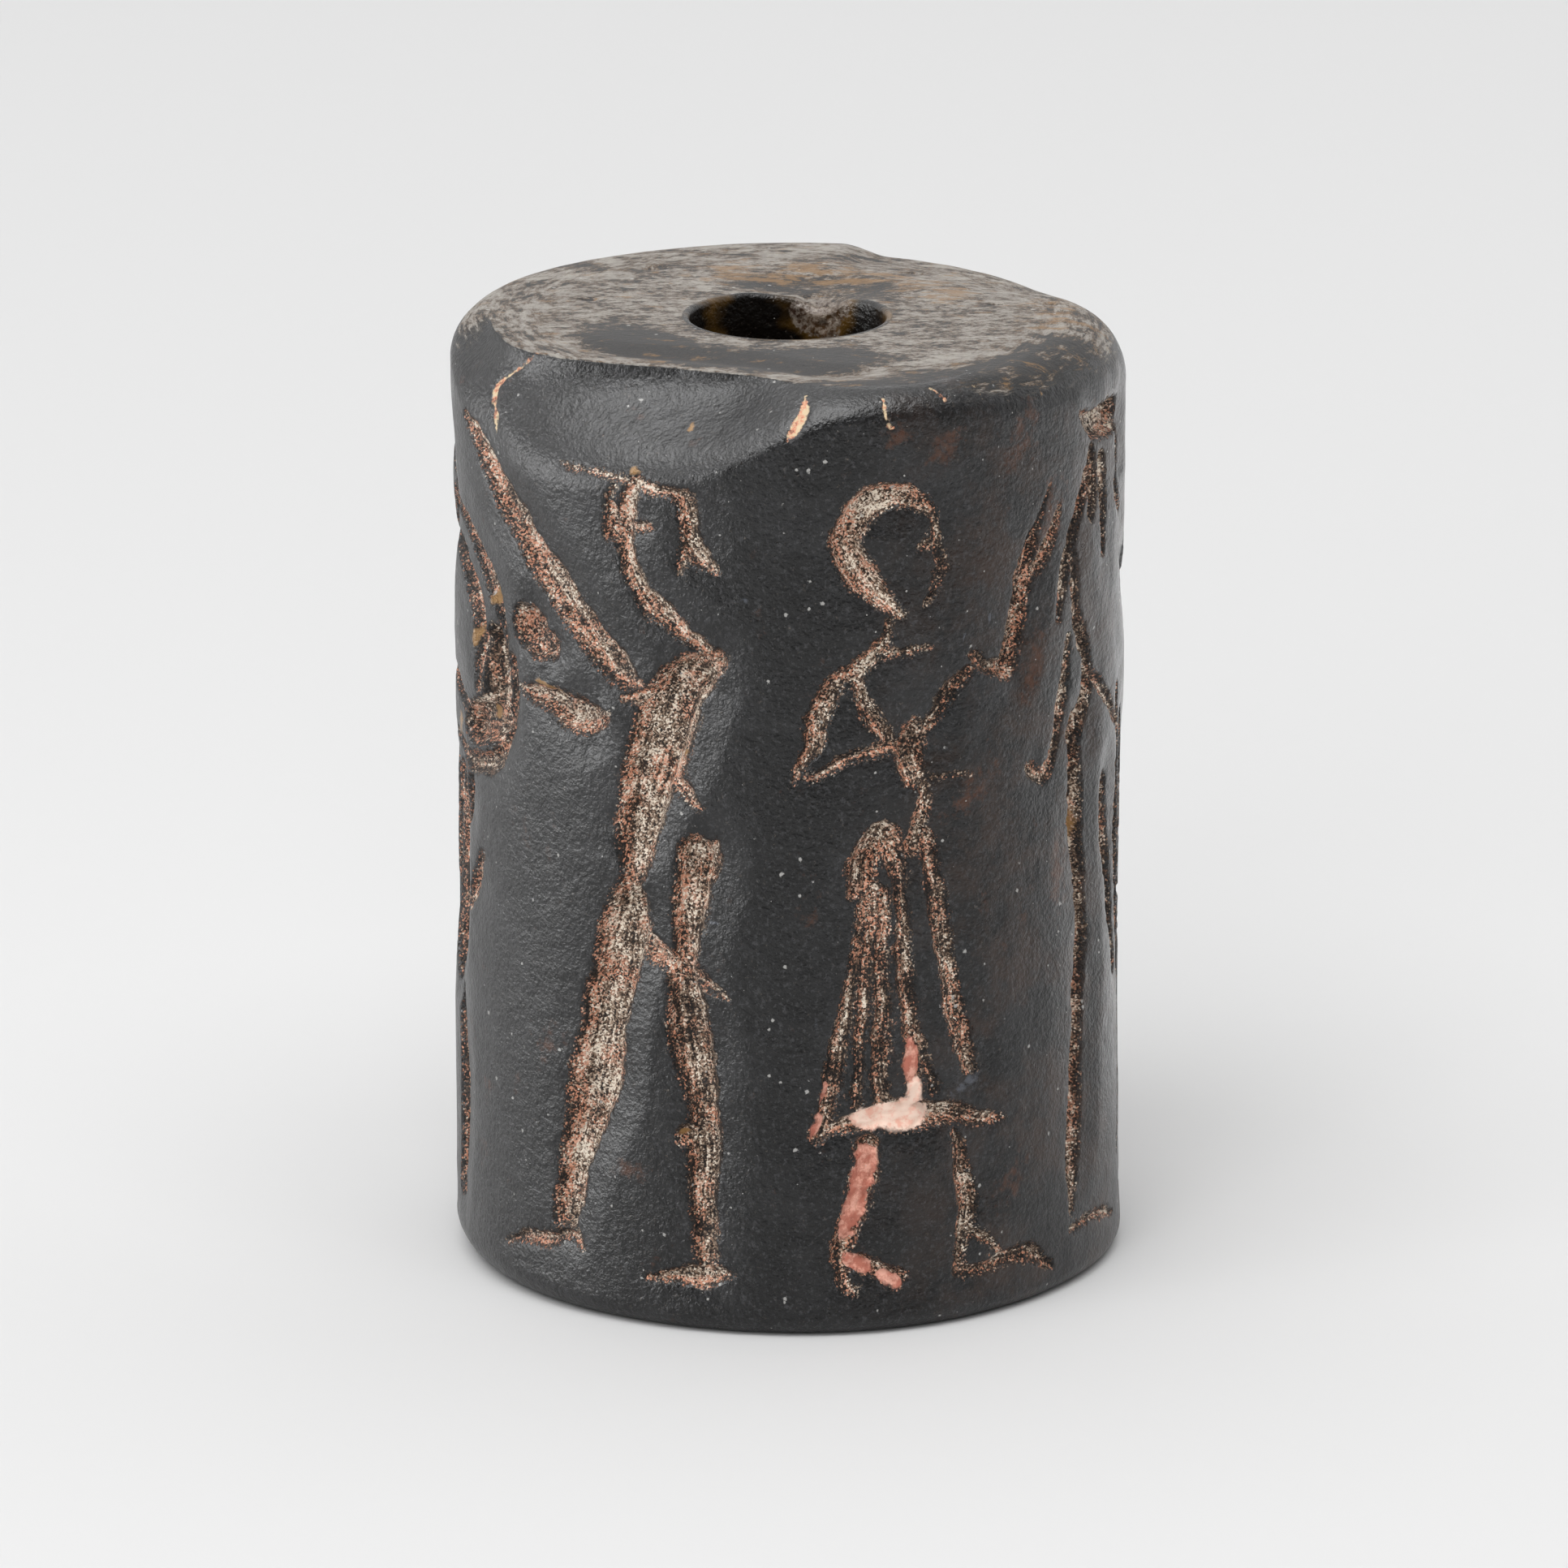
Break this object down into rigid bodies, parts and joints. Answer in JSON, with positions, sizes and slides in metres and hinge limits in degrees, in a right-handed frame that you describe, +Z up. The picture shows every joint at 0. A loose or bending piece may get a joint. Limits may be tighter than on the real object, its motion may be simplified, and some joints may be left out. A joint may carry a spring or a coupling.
{
  "type": "cylinder seal",
  "caption": "Dark stone cylinder seal, drilled through and engraved around the wall with striding figures, one end worn hollow.",
  "frame": {"origin": "middle of the flat lower end", "axes": "+Z up along the string hole; the pictured side faces -Y, with +X to its right"},
  "size_m": [0.02, 0.0201, 0.0285],
  "materials": {
    "stone": "dense near-black stone with a worn satin polish, grainy cream and pink deposit in the cuts"
  },
  "bodies": {
    "root": {"seal": "stone"}
  },
  "joints": []
}
